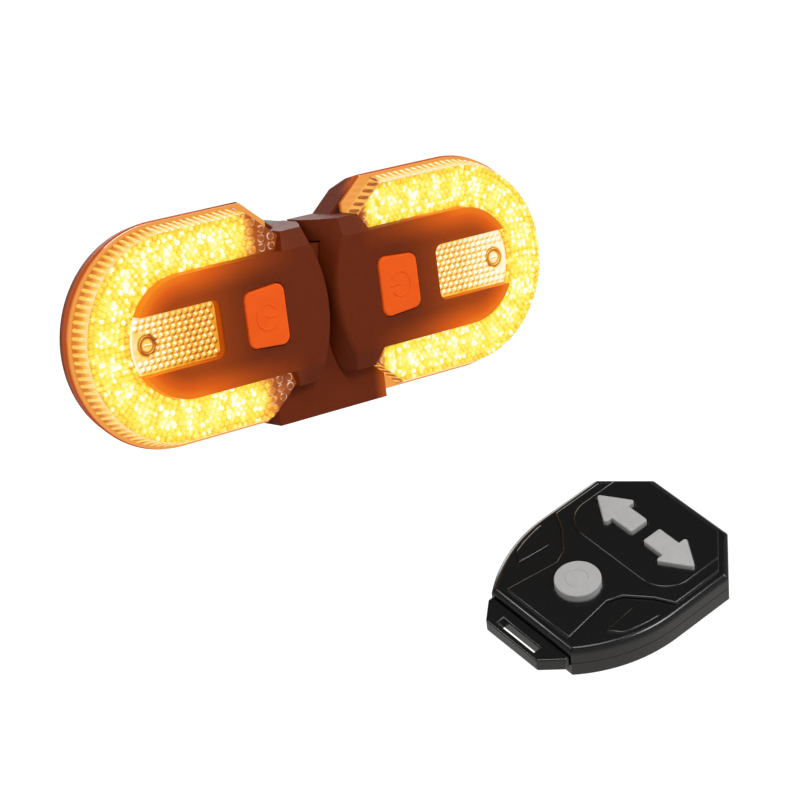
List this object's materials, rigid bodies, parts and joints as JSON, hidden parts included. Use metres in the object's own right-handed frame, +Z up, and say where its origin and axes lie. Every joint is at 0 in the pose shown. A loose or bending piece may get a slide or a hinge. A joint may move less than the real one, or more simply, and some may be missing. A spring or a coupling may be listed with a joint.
{
  "type": "bicycle turn signal light",
  "caption": "Rear bicycle turn signal: amber pods with U-shaped lenses hook onto a tilting holder strapped to a seat post, with a wireless arrow-key remote.",
  "frame": {"origin": "on the seat post's axis, at the middle of the strap and of the lamp's height", "axes": "+Z up along the post, X along the lamp, the lamp faces -Y"},
  "size_m": [0.13, 0.1428, 0.1095],
  "materials": {
    "black_abs": "moulded, satin",
    "black_rubber": "matt",
    "black_silicone": "smooth, matt",
    "steel": "plated",
    "clear_lens": "clear, with lenslets",
    "amber_reflector": "prismatic",
    "amber_led": "lit",
    "amber_silicone": "translucent, matt",
    "board": "solder mask",
    "battery_foil": "foil pouch",
    "remote_abs": "moulded, gloss",
    "grey_silicone": "smooth, matt"
  },
  "bodies": {
    "mount": {"saddle": "black_abs", "saddle_pad": "black_rubber", "strap": "black_silicone", "remote_base": "remote_abs", "remote_cover": "remote_abs", "remote_board": "board", "remote_switches": "steel", "remote_coin_cell": "steel", "remote_cell_clip": "steel", "remote_screws": "steel"},
    "holder": {"holder": "black_abs", "tilt_screw": "steel", "tilt_nut": "steel"},
    "left_pod": {"left_rear_case": "black_abs", "left_front_bezel": "black_abs", "left_lens": "clear_lens", "left_reflector": "amber_reflector", "left_circuit_board": "board", "left_leds": "amber_led", "left_tact_switch": "black_abs", "left_battery": "battery_foil", "left_usb_socket": "steel", "left_gasket": "black_rubber", "left_case_screws": "steel"},
    "left_button": {"left_power_button": "amber_silicone"},
    "left_flap": {"left_port_flap": "black_rubber"},
    "right_pod": {"right_rear_case": "black_abs", "right_front_bezel": "black_abs", "right_lens": "clear_lens", "right_reflector": "amber_reflector", "right_circuit_board": "board", "right_leds": "amber_led", "right_tact_switch": "black_abs", "right_battery": "battery_foil", "right_usb_socket": "steel", "right_gasket": "black_rubber", "right_case_screws": "steel"},
    "right_button": {"right_power_button": "amber_silicone"},
    "right_flap": {"right_port_flap": "black_rubber"},
    "remote_left_key": {"remote_left_button": "grey_silicone"},
    "remote_right_key": {"remote_right_button": "grey_silicone"},
    "remote_round_key": {"remote_round_button": "grey_silicone"}
  },
  "joints": [
    {"name": "holder_tilt", "type": "hinge", "parent": "mount", "child": "holder", "pos_m": [0, -0.033, 0], "axis": [1, 0, 0], "range_deg": [-20, 20]},
    {"name": "left_lift", "type": "slide", "parent": "holder", "child": "left_pod", "axis": [0, 0, 1], "range_m": [0, 0.038]},
    {"name": "left_button_press", "type": "slide", "parent": "left_pod", "child": "left_button", "axis": [0, 1, 0], "range_m": [0, 0.0005], "stiffness_N_per_m": 3000},
    {"name": "left_flap_swing", "type": "hinge", "parent": "left_pod", "child": "left_flap", "pos_m": [-0.032, -0.0431, -0.016], "axis": [-1, 0, 0], "range_deg": [0, 90]},
    {"name": "right_lift", "type": "slide", "parent": "holder", "child": "right_pod", "axis": [0, 0, 1], "range_m": [0, 0.038]},
    {"name": "right_button_press", "type": "slide", "parent": "right_pod", "child": "right_button", "axis": [0, 1, 0], "range_m": [0, 0.0005], "stiffness_N_per_m": 3000},
    {"name": "right_flap_swing", "type": "hinge", "parent": "right_pod", "child": "right_flap", "pos_m": [0.032, -0.0431, -0.016], "axis": [-1, 0, 0], "range_deg": [0, 90]},
    {"name": "remote_left_press", "type": "slide", "parent": "mount", "child": "remote_left_key", "axis": [0.3207, 0.4145, -0.8517], "range_m": [0, 0.0005], "stiffness_N_per_m": 2000},
    {"name": "remote_right_press", "type": "slide", "parent": "mount", "child": "remote_right_key", "axis": [0.3207, 0.4145, -0.8517], "range_m": [0, 0.0005], "stiffness_N_per_m": 2000},
    {"name": "remote_round_press", "type": "slide", "parent": "mount", "child": "remote_round_key", "axis": [0.3207, 0.4145, -0.8517], "range_m": [0, 0.0005], "stiffness_N_per_m": 2000}
  ]
}
